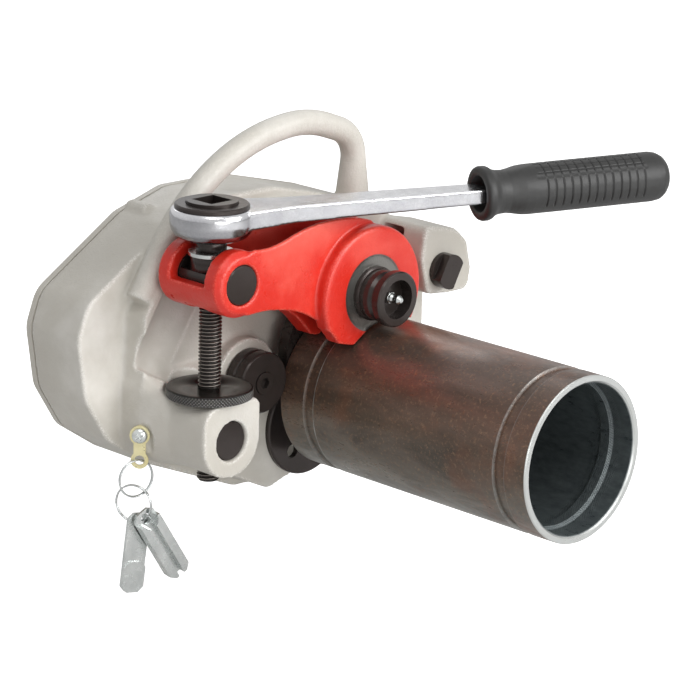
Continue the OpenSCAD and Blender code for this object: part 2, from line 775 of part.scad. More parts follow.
// Side outline of the arm's web, as shares of its span and of its head's radius
arm_low_shares = [[-0.05, -0.2], [0.017, -0.484], [0.139, -0.45], [0.26, -0.473], [0.435, -0.56],
    [0.565, -0.71], [0.67, -0.88], [0.757, -1.118], [0.85, -1.35], [1.1, -1.3]];
arm_top_shares = [[1.12, 0.5], [0.93, 0.655], [0.757, 0.685], [0.58, 0.672], [0.443, 0.605],
    [0.313, 0.5], [0.19, 0.455], [0.052, 0.49], [-0.05, 0.2]];
head_trim_shares = [[-1.4, -1.4], [-0.12, -1.4], [-0.32, -0.735], [-0.45, -0.72], [-0.69, -0.655],
    [-0.86, -0.45], [-1.4, -0.15]];
spot_r = 27;
spot_t = 1;
head_edge = 3;
pipe_clear = 1.6;
flange_clear = 3.5;
pivot_bush_t = 3;
clip_w = 1.4;
clip_recess = 3;
cross_t = 10;
cross_short = 12;
arm_span = roll_at.x - upper_at.x;
module arm_side() {
    low = stretched(arm_low_shares, [arm_span, head_r], upper_at);
    top = stretched(arm_top_shares, [arm_span, head_r], upper_at);
    lug = [pivot_at - [0, lug_r], pivot_at + [0, lug_r]];
    slab(soft(concat(low, lug, top)), head_front - overrun, wall_y);
}

module arm() {
    jog = roll_at.x - head_r;
    left = upper_at.x - drum_r;
    front_end = roll_at.x + 0.15 * head_r;
    lobe = 14;
    lobe_edge = 4;
    jog_long = 40;
    jog_short = 34;
    jog_back = 4;
    front_plan = [[left, web_front], [front_end, web_front], [front_end, cheek_back], [left, cheek_back]];
    rear_plan = [[left, drum_back - lobe], [jog - jog_long, drum_back - lobe], [jog, rear_front],
        [roll_at.x + 1.05 * head_r, rear_front], [pivot_at.x - 1.6 * lug_r, lug_front],
        [pivot_at.x + lug_r, lug_front], [pivot_at.x + lug_r, lug_back],
        [pivot_at.x - 1.1 * lug_r, lug_back],
        [roll_at.x + 1.15 * head_r, rear_back], [jog + jog_back, rear_back],
        [jog - jog_short, drum_back], [left, drum_back]];
    color(arm_red) difference() {
        union() {
            intersection() {
                arm_side();
                union() {
                    linear_extrude(2 * case_h) polygon(front_plan);
                    linear_extrude(2 * case_h) polygon(rear_plan);
                }
            }
            bar_y(upper_at, drum_r, drum_front + lobe_edge, drum_back - lobe_edge);
            bar_y(upper_at, drum_r - lobe_edge, drum_front, drum_front + lobe_edge, drum_r);
            bar_y(upper_at, drum_r, drum_back - lobe_edge, drum_back, drum_r - lobe_edge);
            turned_y(roll_at, head_front, [[0, 0], [head_r - head_edge, 0],
                [head_r - 0.3 * head_edge, 0.3 * head_edge], [head_r, head_edge],
                [head_r, cheek_back - head_front], [0, cheek_back - head_front]]);
            bar_y(roll_at, 0.78 * head_r, rear_front, rear_back);
            bar_y(pivot_at, lug_r, lug_front, lug_back);
            // Cross wall between the cheeks, beside the drum
            translate([upper_at.x + 0.9 * drum_r, cheek_back - overrun, upper_at.y - 0.85 * drum_r])
                cube([cross_t, drum_back - cheek_back - cross_short, drum_r]);
        }
        // Room for the pipe and for the flange of the drive shaft, and the trimmed edge of the head
        bar_y(pipe_at, pipe_r + pipe_clear, head_front - overrun, rear_back + overrun);
        bar_y(drive_at, flange_r + flange_clear, rear_back - overrun, wall_y);
        slab(stretched(head_trim_shares, [head_r, head_r], roll_at),
            head_front - overrun, rear_back + overrun);
        // Bores of the trunnion, roll shaft and pivot bush, with the spot face and clip recess of the shaft
        bar_y(upper_at, trunnion_r + fit_gap, drum_front - overrun, drum_back + overrun);
        bar_y(roll_at, roll_shaft_r + fit_gap, head_front - overrun, rear_back + overrun);
        bar_y(roll_at, spot_r, head_front - overrun, head_front + spot_t);
        bar_y(roll_at, roll_shaft_r + bush_t, rear_back - clip_recess, rear_back + overrun);
        bar_y(pivot_at, pivot_r + pivot_bush_t, lug_front - overrun, lug_back + overrun);
        // Way of the feed screw through the drum, wider above for its hub and washer
        translate([upper_at.x - slot_x - washer_room, screw_y - slot_y, upper_at.y - 2 * drum_r])
            cube([2 * (slot_x + washer_room), 2 * slot_y, 2 * drum_r]);
        translate([upper_at.x - 2 * drum_r, screw_y - washer_r - washer_room, upper_at.y - overrun])
            cube([3 * drum_r, 2 * (washer_r + washer_room), 2 * drum_r]);
    }
}

module pivot_bush() {
    color("goldenrod") ring_y(pivot_at, pivot_r + fit_gap, pivot_r + pivot_bush_t, lug_front, lug_back);
}

// Pivot pin with a round head that has two wrench flats
pin_lean = 29;
module pivot_pin() {
    front = hood_front - pin_head_t;
    nose = case_front + case_wall + nut_t + edge_cut;
    color(black_oxide) {
        difference() {
            bar_y(pivot_at, pin_head_r, front, hood_front);
            for (side = [-1, 1]) translate([pivot_at.x, front - overrun, pivot_at.y])
                rotate([0, pin_lean, 0])
                translate([side * (pin_flats / 2 + pin_head_r) - pin_head_r, 0, -2 * pin_head_r])
                    cube([2 * pin_head_r, pin_head_t - pin_collar_t + overrun, 4 * pin_head_r]);
        }
        bar_y(pivot_at, pivot_r, hood_front, nose);
    }
}

module pivot_nut() {
    seat = case_front + case_wall;
    color(black_oxide) difference() {
        hex_y(pivot_at, nut_across, seat, seat + nut_t);
        bar_y(pivot_at, pivot_r, seat - overrun, seat + nut_t + overrun);
    }
}

// Knob of the roll shaft, as shares of its radius and length
knob_shares = [[0, 0], [0.948, 0], [1, 0.042], [1, 0.25], [0.948, 0.292], [0.813, 0.333], [0.813, 0.417],
    [0.896, 0.521], [0.927, 0.667], [0.907, 0.792], [0.907, 0.854], [0.979, 0.875], [0.979, 1], [0, 1]];
nipple_seat = 10;
module roll_shaft() {
    seat = head_front + spot_t;
    front = head_front - knob_out;
    end = rear_back - part_gap;
    color(black_oxide) difference() {
        union() {
            turned_y(roll_at, front, stretched(knob_shares, [knob_r, seat - front]));
            bar_y(roll_at, roll_shaft_r, seat - overrun, end);
        }
        bar_y(roll_at, 0.7 * knob_r, front - overrun, front + nipple_seat);
        ring_y(roll_at, roll_shaft_r - clip_in, roll_shaft_r + overrun,
            end - edge_cut - clip_w, end - edge_cut);
    }
}

// Grease nipple, as shares of its hexagon's radius and its length
nipple_shares = [[0, 0.23], [0.81, 0.23], [0.81, 0.385], [0.524, 0.492], [0.524, 0.615], [0.762, 0.723],
    [0.762, 0.846], [0.381, 1], [0, 1]];
nipple_r = 4.2;
nipple_hex_h = 3.6;
nipple_len = 13;
module grease_nipple() {
    y = head_front - knob_out + nipple_seat;
    color(zinc) translate([roll_at.x, y, roll_at.y]) rotate([90, 0, 0]) {
        cylinder(r = nipple_r, h = nipple_hex_h, $fn = 6);
        rotate_extrude() polygon(stretched(nipple_shares, [nipple_r, nipple_len]));
    }
}

module shaft_clip() {
    end = rear_back - part_gap;
    color("gray") ring_y(roll_at, roll_shaft_r - clip_in, roll_shaft_r + clip_out,
        end - edge_cut - clip_w, end - edge_cut);
}

rib_flank = 0.8;
module groove_roll() {
    half = groove_w / 2;
    mid = roll_w / 2;
    foot = half - rib_flank;
    crest = foot - rib_flank;
    bore = roll_shaft_r + bush_t;
    color(black_oxide) turned_y(roll_at, roll_front, [[bore, 0], [land_r - edge_cut, 0], [land_r, edge_cut],
        [land_r, mid - foot], [rib_r, mid - crest], [rib_r, mid + crest], [land_r, mid + foot],
        [land_r, roll_w - edge_cut], [land_r - edge_cut, roll_w], [bore, roll_w]]);
}

module roll_bush() {
    color("goldenrod") ring_y(roll_at, roll_shaft_r + fit_gap, roll_shaft_r + bush_t, roll_front, roll_back);
}

trunnion_in = 0.5;
module upper_trunnion() {
    r = trunnion_r;
    color(black_oxide) difference() {
        pin_y(upper_at, r, drum_front + trunnion_in, drum_back - 2 * trunnion_in, edge_cut);
        translate([upper_at.x, screw_y, upper_at.y - 2 * r]) cylinder(r = screw_r + fit_gap, h = 4 * r);
        translate([upper_at.x - r - overrun, screw_y - washer_r - edge_cut, flat_z])
            cube([2 * (r + overrun), 2 * (washer_r + edge_cut), r]);
    }
}

module lower_trunnion() {
    r = trunnion_r;
    color(black_oxide) difference() {
        pin_y(lower_at, r, boss_front + 4 * trunnion_in, boss_front + drum_len - 2 * trunnion_in, edge_cut);
        translate([lower_at.x, screw_y, lower_at.y - 2 * r]) cylinder(r = screw_r + loose_gap, h = 4 * r);
    }
}

module feed_screw() {
    side = drive_side - 2 * fit_gap;
    color(black_oxide) translate([upper_at.x, screw_y, 0]) {
        translate([0, 0, screw_bottom]) cylinder(r1 = screw_r - screw_tip, r2 = screw_r, h = screw_tip);
        translate([0, 0, screw_bottom + screw_tip])
            cylinder(r = screw_r, h = washer_z - screw_bottom - screw_tip);
        translate([0, 0, flat_z + fit_gap]) cylinder(r = hub_r, h = hub_h - fit_gap);
        translate([0, 0, washer_z]) cylinder(r = neck_r, h = washer_t);
        translate([0, 0, collar_z]) cylinder(r = collar_r, h = collar_h);
        translate([-side / 2, -side / 2, ratchet_z]) cube([side, side, drive_h_in]);
    }
}

module thrust_washer() {
    color(zinc) translate([upper_at.x, screw_y, washer_z]) difference() {
        cylinder(r = washer_r, h = washer_t);
        translate([0, 0, -overrun]) cylinder(r = neck_r, h = washer_t + 2 * overrun);
    }
}

gear_bore_r = 20;
socket_boss_r = 17.5;
ratchet_teeth = 24;
cap_t = 3;
socket_proud = 2;
head_h = ratchet_head_h - cap_t;
head_floor = 4;
gear_z = head_floor + edge_cut;
gear_h = head_h - head_floor - gear_z;
ratchet_tooth = 1.6;
module ratchet_gear() {
    step = 360 / ratchet_teeth;
    pts = [for (i = [0:ratchet_teeth - 1]) each [gear_bore_r * [cos(i * step), sin(i * step)],
        (gear_bore_r - ratchet_tooth) * [cos((i + 0.5) * step), sin((i + 0.5) * step)]]];
    color(black_oxide) translate([upper_at.x, screw_y, ratchet_z]) difference() {
        union() {
            translate([0, 0, gear_z]) linear_extrude(gear_h) polygon(pts);
            cylinder(r = socket_boss_r, h = head_h + cap_t + socket_proud);
        }
        translate([-drive_side / 2, -drive_side / 2, -overrun])
            cube([drive_side, drive_side, 2 * ratchet_head_h]);
    }
}

module depth_stop() {
    r = disc_r;
    bore = screw_r + fit_gap;
    color(black_oxide) translate([lower_at.x, screw_y, disc_z])
        rotate_extrude($fn = fine_fn) polygon([[bore, 0], [r - edge_cut, 0], [r, edge_cut],
            [r, disc_t - edge_cut], [r - edge_cut, disc_t], [bore, disc_t]]);
}

// The ratchet is drawn along +X and turned to its place
module at_ratchet() {
    translate([upper_at.x, screw_y, ratchet_z]) rotate([0, 0, -ratchet_angle]) children();
}

grip_start = ratchet_len - grip_len;
shank_top = head_h - loose_gap;
shank_t = [12.5, 11.5, 10];
shank_w = [44, 28, 21];
shank_neck = 55;
shank_lap = 3;
shank_x = [0.6 * ratchet_head_r, shank_neck, grip_start + shank_lap];
step_len = 1;
shank_mid = shank_top - shank_t[2] / 2;
tang_r = 4.8;
tang_in = 70;
module shank_step(i) {
    translate([shank_x[i], -shank_w[i] / 2, shank_top - shank_t[i]])
        cube([step_len, shank_w[i], shank_t[i]]);
}

// Ratchet head, as shares of its radius and height
head_shares = [[0, 0], [0.683, 0], [0.852, 0.095], [0.958, 0.286], [1, 0.524], [1, 0.81], [0.965, 0.952],
    [0.912, 1], [0, 1]];
pawl_in = 6;
pawl_room = 7;
pawl_t = 3;
pawl_w = 8;
pocket_w = 10;
module ratchet_body() {
    h = head_h;
    color([0.8, 0.8, 0.82]) at_ratchet() difference() {
        union() {
            rotate_extrude() polygon(stretched(head_shares, [ratchet_head_r, h]));
            for (i = [0, 1]) hull() {
                shank_step(i);
                shank_step(i + 1);
            }
            translate([grip_start, 0, shank_mid]) rotate([0, 90 - grip_tilt, 0])
                cylinder(r = tang_r, h = tang_in);
        }
        translate([0, 0, head_floor]) cylinder(r = gear_bore_r + part_gap, h = h);
        translate([0, 0, -overrun]) cylinder(r = socket_boss_r + part_gap, h = h);
        // Pocket of the pawl and its spring
        translate([gear_bore_r - pawl_in, -pocket_w / 2, gear_z])
            cube([pawl_in + pawl_room, pocket_w, gear_h]);
    }
}

module ratchet_cap() {
    color(black_oxide) at_ratchet() difference() {
        translate([0, 0, head_h]) rotate_extrude() polygon([[0, 0], [cap_r, 0],
            [cap_r, cap_t - edge_cut], [cap_r - edge_cut, cap_t], [0, cap_t]]);
        translate([0, 0, head_h - overrun]) cylinder(r = socket_boss_r + part_gap, h = 2 * cap_t);
    }
}

module ratchet_pawl() {
    color("gray") at_ratchet() translate([gear_bore_r + part_gap, -pawl_w / 2, gear_z + part_gap])
        cube([pawl_t, pawl_w, gear_h - 2 * part_gap]);
}

spring_r = 2;
module pawl_spring() {
    color("gray") at_ratchet() translate([gear_bore_r + part_gap + pawl_t, 0, head_h / 2]) rotate([0, 90, 0])
        cylinder(r = spring_r, h = pawl_room - pawl_t - part_gap);
}

grip_tilt = 1.2;
mouth_r = 12.5;
mouth_in = 9;
// Grip, as shares of its radius and length
grip_shares = [[0, 0], [1.094, 0], [1.188, 0.007], [1.188, 0.041], [1.063, 0.058], [0.95, 0.089],
    [0.938, 0.13], [1.05, 0.192], [1.063, 0.918], [0.969, 0.959], [0.75, 0.99], [0.5, 1], [0, 1]];
module ratchet_grip() {
    color([0.28, 0.28, 0.28]) at_ratchet() translate([grip_start, 0, shank_mid])
        rotate([0, 90 - grip_tilt, 0]) difference() {
        rotate_extrude() polygon(stretched(grip_shares, [grip_r, grip_len]));
        translate([0, 0, -overrun]) cylinder(r = tang_r, h = tang_in + overrun);
        translate([0, 0, -overrun]) cylinder(r = mouth_r, h = mouth_in + overrun);
    }
}

// Lanyard tab, whose outer side faces forwards and to the left
lanyard_side = 31;
lanyard_in = 1;
lanyard_drop = 3;
lanyard_at = [lower_at.x - lanyard_side, wall_y + lanyard_in, lower_at.y - lanyard_drop];
lanyard_turn = -45;
tab_t = 1.4;
tab_r = 6.9;
tab_drop = 17.5;
tab_hole_r = 3.4;
tab_room = 2;
lanyard_r = 2;
lanyard_len = 13;
lanyard_head_r = 5.4;
lanyard_head_h = 3.6;
module at_lanyard() {
    translate(lanyard_at) rotate([0, 0, lanyard_turn]) children();
}

// Flat seat of the tab and thread hole of its screw
module lanyard_seat() {
    at_lanyard() {
        rotate([-90, 0, 0]) cylinder(r = lanyard_r, h = lanyard_len + overrun);
        rotate([90, 0, 0]) cylinder(r = tab_r + tab_room, h = 2 * tab_r);
        translate([-tab_r - tab_room, -2 * tab_r, -2 * tab_drop])
            cube([2 * (tab_r + tab_room), 2 * tab_r, 2 * tab_drop]);
    }
}

// Round head of the lanyard screw, as shares of its radius and height
pan_shares = [[0, 0], [1, 0], [1, 0.222], [0.778, 0.778], [0.37, 1], [0, 1]];
module lanyard_screw() {
    color(zinc) at_lanyard() translate([0, -tab_t, 0]) {
        rotate([90, 0, 0]) rotate_extrude() polygon(stretched(pan_shares, [lanyard_head_r, lanyard_head_h]));
        rotate([-90, 0, 0]) cylinder(r = lanyard_r, h = lanyard_len);
    }
}

module lanyard_tab() {
    color([0.86, 0.82, 0.58]) at_lanyard() rotate([90, 0, 0]) linear_extrude(tab_t) difference() {
        union() {
            circle(r = tab_r);
            translate([0, -tab_drop]) circle(r = 0.88 * tab_r);
            translate([-0.6 * tab_r, -tab_drop]) square([1.2 * tab_r, tab_drop]);
        }
        circle(r = lanyard_r);
        translate([0, -tab_drop]) circle(r = tab_hole_r);
    }
}

// Split rings, each in an upright plane at a turn about Z, and the point of a ring at an angle
ring_r = 12.9;
wire_r = 0.65;
wire_shift = 0.6;
link_gap = 2.5;
ring_turns = [-10, -65];
ring_lean = 12;
link_angles = [-58, 50];
gauge_angles = [-74, -48];
function along(turn) = [cos(turn), sin(turn), 0];
function on_ring(turn, a) = cos(a) * along(turn) + [0, 0, sin(a)];
function ring_way(turn, a) = -sin(a) * along(turn) + [0, 0, cos(a)];
tab_hole_at = lanyard_at + [sin(lanyard_turn) * tab_t / 2, -cos(lanyard_turn) * tab_t / 2, -tab_drop];
ring_1_at = tab_hole_at - ring_r * on_ring(ring_turns[0], 90 - ring_lean);
link_out = unit(cross(ring_way(ring_turns[0], link_angles[0]), ring_way(ring_turns[1], link_angles[1])));
ring_2_at = ring_1_at + ring_r * on_ring(ring_turns[0], link_angles[0]) + link_gap * link_out
    - ring_r * on_ring(ring_turns[1], link_angles[1]);

module split_ring(at, turn) {
    translate(at) rotate([0, 0, turn]) rotate([90, 0, 0]) rotate_extrude() for (side = [-1, 1])
        translate([ring_r, side * wire_shift]) circle(r = wire_r, $fn = 24);
}

module upper_split_ring() {
    color(zinc) split_ring(ring_1_at, ring_turns[0]);
}

module lower_split_ring() {
    color(zinc) split_ring(ring_2_at, ring_turns[1]);
}

// Gauges, each drawn downwards from the ring and swung in its own plane
gauge_len = 56;
gauge_w = 17;
gauge_t = 2.4;
gauge_top = 6;
gauge_hole_r = 4;
gauge_turn = -10;
gauge_swings = [7, -31];
gauge_edge = 4;
ring_room = 2.4;
step_t = 1.4;
rail_h = 6;
module at_gauge(i) {
    translate(ring_2_at + ring_r * on_ring(ring_turns[1], gauge_angles[i])) rotate([0, 0, gauge_turn])
        rotate([0, gauge_swings[i], 0]) rotate([90, 0, 0]) children();
}

// A plate with cut corners, from its bottom up to a top height, with its back at z
module gauge_plate(top, z, t) {
    w = gauge_w / 2;
    c = gauge_edge;
    low = gauge_top - gauge_len;
    translate([0, 0, z]) linear_extrude(t) polygon([[-w + c, low], [w - c, low], [w, low + c],
        [w, top - c], [w - c, top], [-w + c, top], [-w, top - c], [-w, low + c]]);
}

module flat_gauge() {
    color(zinc) at_gauge(0) difference() {
        union() {
            gauge_plate(gauge_top, -gauge_t / 2, gauge_t);
            gauge_plate(-gauge_len / 2, -gauge_t / 2, gauge_t + step_t);
        }
        translate([0, 0, -gauge_t]) cylinder(r = gauge_hole_r, h = 2 * gauge_t);
    }
}

module channel_gauge() {
    slot = 0.26 * gauge_w;
    color(zinc) at_gauge(1) difference() {
        gauge_plate(gauge_top, -gauge_t / 2, gauge_t + rail_h);
        translate([0, 0, -gauge_t]) cylinder(r = gauge_hole_r, h = 2 * gauge_t);
        // Room for the ring round the hole, and the channel down the front
        translate([0, 0, gauge_t / 2]) cylinder(r = gauge_hole_r + ring_room, h = 2 * rail_h);
        translate([-slot / 2, -gauge_len, gauge_t / 2]) cube([slot, 2 * gauge_len, 2 * rail_h]);
        translate([-gauge_w, 0, gauge_t / 2]) cube([2 * gauge_w, gauge_len, 2 * rail_h]);
    }
}

frame();
rear_cover();
cover_screws();
bearing_cap();
bearing_cap_screws();
front_bearing();
rear_bearing();
shaft_seal();
pinion_bushes();
pivot_pin();
pivot_nut();
roller_screw();
lanyard_screw();
lanyard_tab();
drive_shaft();
bull_gear();
gear_key();
gear_ring();
input_pinion();
guide_roller();
roller_bush();
pipe();
arm();
pivot_bush();
roll_shaft();
grease_nipple();
shaft_clip();
groove_roll();
roll_bush();
upper_trunnion();
feed_screw();
thrust_washer();
ratchet_gear();
depth_stop();
ratchet_body();
ratchet_cap();
ratchet_pawl();
pawl_spring();
ratchet_grip();
lower_trunnion();
upper_split_ring();
lower_split_ring();
flat_gauge();
channel_gauge();
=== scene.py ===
# Looks of the pipe roll groover: cast paint, oxide, zinc, chrome, threads and knurls.
import json
import math
import bmesh
import bpy
import numpy as np
from mathutils import Matrix, Vector


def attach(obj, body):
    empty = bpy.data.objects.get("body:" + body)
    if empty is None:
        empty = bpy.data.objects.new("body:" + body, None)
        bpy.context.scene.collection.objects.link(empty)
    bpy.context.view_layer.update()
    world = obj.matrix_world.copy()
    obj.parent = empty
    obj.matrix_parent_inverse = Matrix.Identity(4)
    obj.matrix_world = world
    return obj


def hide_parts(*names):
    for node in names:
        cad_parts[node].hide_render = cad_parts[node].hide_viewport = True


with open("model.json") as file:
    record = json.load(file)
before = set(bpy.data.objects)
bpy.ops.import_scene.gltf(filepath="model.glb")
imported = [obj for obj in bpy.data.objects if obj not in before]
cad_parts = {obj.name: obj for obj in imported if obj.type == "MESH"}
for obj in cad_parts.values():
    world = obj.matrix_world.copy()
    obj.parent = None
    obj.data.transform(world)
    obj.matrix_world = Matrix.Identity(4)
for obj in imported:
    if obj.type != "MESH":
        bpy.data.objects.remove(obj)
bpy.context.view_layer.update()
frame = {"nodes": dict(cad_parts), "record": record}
nodes = frame["nodes"]
MM = 0.001
FULL_TURN = 2 * math.pi

# Places in metres. An axis along Y is given by x and z, and the upright one by x and y.
DRIVE_AXIS, DRIVE_ROLL_R = (0.0, 0.103), 0.022
DRIVE_ROLL_Y = (-0.108, -0.0695)
PIPE_AXIS, PIPE_FRONT = (0.006875, 0.074364), -0.2951
# Limits of radius inside the pipe's wall, which part its bore from its outside
BORE_PART, SKIN_PART = (0.0524, 0.0528), (0.0535, 0.054)
GROOVE_EDGES_Y = (-0.2767, -0.2671, -0.1003, -0.0907)
KNURL_PRINTS_Y = ((-0.284, -0.262), (-0.106, -0.072))
# The machined face on the arm's head
ROLL_AXIS, SPOT_R, SPOT_Y = (-0.012349, 0.154438), 0.0268, -0.1172
SCREW_AXIS = (-0.127, -0.0789)
LANYARD_AT, LANYARD_TURN = Vector((-0.158, -0.044, 0.0645)), math.radians(-45)
UPPER_RING_AT, UPPER_RING_TURN = (-0.161136, -0.044029, 0.034382), math.radians(-10)
LOWER_RING_AT, LOWER_RING_TURN = (-0.159066, -0.039473, 0.014891), math.radians(-65)
FLOOR_Z = -0.062


# Node trees
class Tree:
    """A node tree under construction, with a short call for each kind of node."""

    def __init__(self, tree):
        self.tree = tree

    def put(self, n, key, value):
        """Links a socket, or sets a value. A key is a number, or a name with _ for each space."""
        if not isinstance(key, int):
            key = [i.name for i in n.inputs].index(key.replace("_", " "))
        if isinstance(value, bpy.types.NodeSocket):
            self.tree.links.new(value, n.inputs[key])
        else:
            n.inputs[key].default_value = value

    def node(self, kind, **inputs):
        n = self.tree.nodes.new("ShaderNode" + kind)
        for key, value in inputs.items():
            self.put(n, key, value)
        return n

    def math(self, op, a, b=0.0, clamp=False):
        n = self.node("Math")
        n.operation = op
        n.use_clamp = clamp
        self.put(n, 0, a)
        self.put(n, 1, b)
        return n.outputs[0]

    def remap(self, v, a, b, c, d):
        """Spreads a value that runs from a to b over c to d, and holds it there outside."""
        n = self.node("MapRange", Value=v, From_Min=a, From_Max=b, To_Min=c, To_Max=d)
        return n.outputs["Result"]


class Mat(Tree):
    """A material. Its coordinates are the object's own in metres, which are the part's frame."""

    def __init__(self, name):
        self.mat = bpy.data.materials.new(name)
        self.mat.use_nodes = True
        super().__init__(self.mat.node_tree)
        self.bsdf = self.tree.nodes["Principled BSDF"]
        self.coord = self.node("TexCoord").outputs["Object"]

    def set(self, **inputs):
        for key, value in inputs.items():
            self.put(self.bsdf, key, value)

    def tint(self):
        """The colour that is linked so far."""
        return self.bsdf.inputs["Base Color"].links[0].from_socket

    def geometry(self, name):
        return self.node("NewGeometry").outputs[name]

    def noise(self, scale, detail=4.0, rough=0.55, at=None, distortion=0.0):
        n = self.node("TexNoise", Vector=at or self.coord, Scale=scale, Detail=detail,
                      Roughness=rough, Distortion=distortion)
        return n.outputs["Fac"]

    def ramp(self, fac, stops):
        n = self.node("ValToRGB", Fac=fac)
        el = n.color_ramp.elements
        while len(el) < len(stops):
            el.new(0.5)
        for e, (pos, col) in zip(el, stops):
            e.position = pos
            e.color = (*col, 1.0)
        return n.outputs["Color"]

    def mix(self, fac, a, b):
        n = self.node("Mix")
        n.data_type = "RGBA"
        for i, v in ((0, fac), (6, a), (7, b)):
            self.put(n, i, (*v, 1.0) if isinstance(v, tuple) else v)
        return n.outputs[2]

    def split(self, at=None):
        return self.node("SeparateXYZ", Vector=at or self.coord).outputs

    def bump(self, height, distance, strength, after=None):
        n = self.node("Bump", Strength=strength, Distance=distance, Height=height)
        if after is not None:
            self.put(n, "Normal", after)
        return n.outputs["Normal"]

    def bevel(self, radius):
        """The normal with edges rounded off."""
        n = self.node("Bevel", Radius=radius)
        n.samples = 3
        return n.outputs["Normal"]

    def radius(self, axis, across=(0, 2)):
        """Distance in metres from an axis, which runs along Y unless across says otherwise."""
        pos = self.split()
        away = [self.math("SUBTRACT", pos[i], v) for i, v in zip(across, axis)]
        squares = [self.math("MULTIPLY", v, v) for v in away]
        return self.math("SQRT", self.math("ADD", *squares))

    def crossed(self, axis, r, pitch):
        """The crossed waves of a knurl, round an axis along Y."""
        pos = self.split()
        dx, dz = self.math("SUBTRACT", pos[0], axis[0]), self.math("SUBTRACT", pos[2], axis[1])
        way = self.math("MULTIPLY", self.math("ARCTAN2", dz, dx), r)
        waves = []
        for op in ("ADD", "SUBTRACT"):
            run = self.math("MULTIPLY", self.math(op, way, pos[1]), FULL_TURN / pitch)
            waves.append(self.math("SINE", run))
        return self.math("MAXIMUM", *waves)

    def band(self, v, low, high, soft):
        """One between two limits, falling to nothing over a soft edge outside them."""
        rise = self.remap(v, low - soft, low, 0.0, 1.0)
        fall = self.remap(v, high, high + soft, 1.0, 0.0)
        return self.math("MULTIPLY", rise, fall)


def srgb(r, g, b):
    """Linear colour of one written as 0 to 255."""
    out = []
    for v in (r, g, b):
        v /= 255
        out.append(v / 12.92 if v <= 0.04045 else ((v + 0.055) / 1.055) ** 2.4)
    return tuple(out)


# Materials
def casting(name, paint, rough, grain, bare=None, edge_glints=True):
    """Thick paint on a sand casting: fine pebbles, a soft orange peel, painted edge glints, slight
    stains.

    Paint is the dark, the usual and the light colour. Bare is a function that gives a mask of
    machined places, which show steel. Painted edge glints, in the light colour, need an even mesh.
    """
    m = Mat(name)
    tint = m.ramp(m.noise(9.0, 5.0, 0.6), list(zip((0.3, 0.5, 0.72), paint)))
    if edge_glints:
        # Painted glints: specks of the light colour on sharp, pointed edges
        edge = m.remap(m.geometry("Pointiness"), 0.506, 0.535, 0.0, 0.9)
        glint_specks = m.remap(m.noise(1000.0, 2.0, 0.5), 0.48, 0.6, 0.0, 1.0)
        tint = m.mix(m.math("MULTIPLY", edge, glint_specks, True), tint, paint[2])
    glaze = m.remap(m.noise(60.0, 3.0), 0.3, 0.7, rough - 0.06, rough + 0.08)
    peel = m.bump(m.noise(170.0, 2.0, 0.4), 0.0007 * grain, 0.45)
    pebbles = m.bump(m.noise(620.0, 3.0, 0.55), 0.0004 * grain, 0.75, peel)
    if bare:
        steel, steel_rough, steel_metallic = srgb(128, 126, 122), 0.36, 0.85
        mask = bare(m)
        tint = m.mix(mask, tint, steel)
        painted = m.math("MULTIPLY", glaze, m.math("SUBTRACT", 1.0, mask))
        glaze = m.math("ADD", painted, m.math("MULTIPLY", mask, steel_rough))
        m.set(Metallic=m.math("MULTIPLY", mask, steel_metallic))
    m.set(Base_Color=tint, Roughness=glaze, Normal=pebbles, IOR=1.5)
    return m


def spot_face(m):
    """The machined ring on the arm's head, round the knob."""
    near = m.remap(m.radius(ROLL_AXIS), SPOT_R, SPOT_R + 0.0003, 1.0, 0.0)
    front = m.remap(m.split()[1], SPOT_Y, SPOT_Y + 0.0004, 1.0, 0.0)
    return m.math("MULTIPLY", near, front)


def metal(name, base, dark, rough, metallic=1.0, scratch=0.5, round_edges=0.0004, vary=0.07):
    """Bare or plated metal: clouded colour and gloss, a fine grain, and edges that catch light."""
    m = Mat(name)
    cloud = m.remap(m.noise(70.0, 4.0, 0.6), 0.3, 0.7, 0.0, 1.0)
    gloss = m.remap(m.noise(240.0, 3.0), 0.3, 0.7, rough - vary, rough + vary)
    edge = m.bevel(round_edges) if round_edges else None
    fine = m.bump(m.noise(900.0, 2.0, 0.5), 0.00006, scratch, edge)
    m.set(Base_Color=m.mix(cloud, dark, base), Metallic=metallic, Roughness=gloss, Normal=fine)
    return m


def chrome_plate():
    """Satin chrome with a fine speckle, and a painted dark reflection on faces that are turned
    down.
    """
    m = metal("chrome_steel", srgb(226, 226, 228), srgb(206, 206, 210), 0.2, scratch=1.0)
    # Painted dark reflection, strongest on faces turned down, with the speckle added to it
    under = m.remap(m.split(m.geometry("Normal"))[2], -0.7, 0.45, 0.9, 0.0)
    speckle = m.math("MULTIPLY", m.math("SUBTRACT", m.noise(1400.0, 2.0, 0.7), 0.5), 0.6)
    dark = m.math("ADD", under, speckle, True)
    m.set(Base_Color=m.mix(dark, m.tint(), srgb(104, 104, 108)))
    return m


def moulded_rubber():
    """Matt black rubber, with painted shade where the mesh says that it dips into a groove."""
    m = Mat("grip_rubber")
    dip = m.node("Attribute")
    dip.attribute_name = "dip"
    # Painted shade in the grooves of the grid and ribs
    shadow = m.remap(dip.outputs["Fac"], 0.15, 0.7, 0.0, 0.85)
    tint = m.mix(m.noise(40.0), srgb(36, 36, 36), srgb(46, 46, 45))
    skin = m.bump(m.noise(700.0, 3.0, 0.6), 0.00012, 0.6)
    m.set(Base_Color=m.mix(shadow, tint, srgb(12, 12, 12)), Roughness=0.5, Normal=skin)
    return m


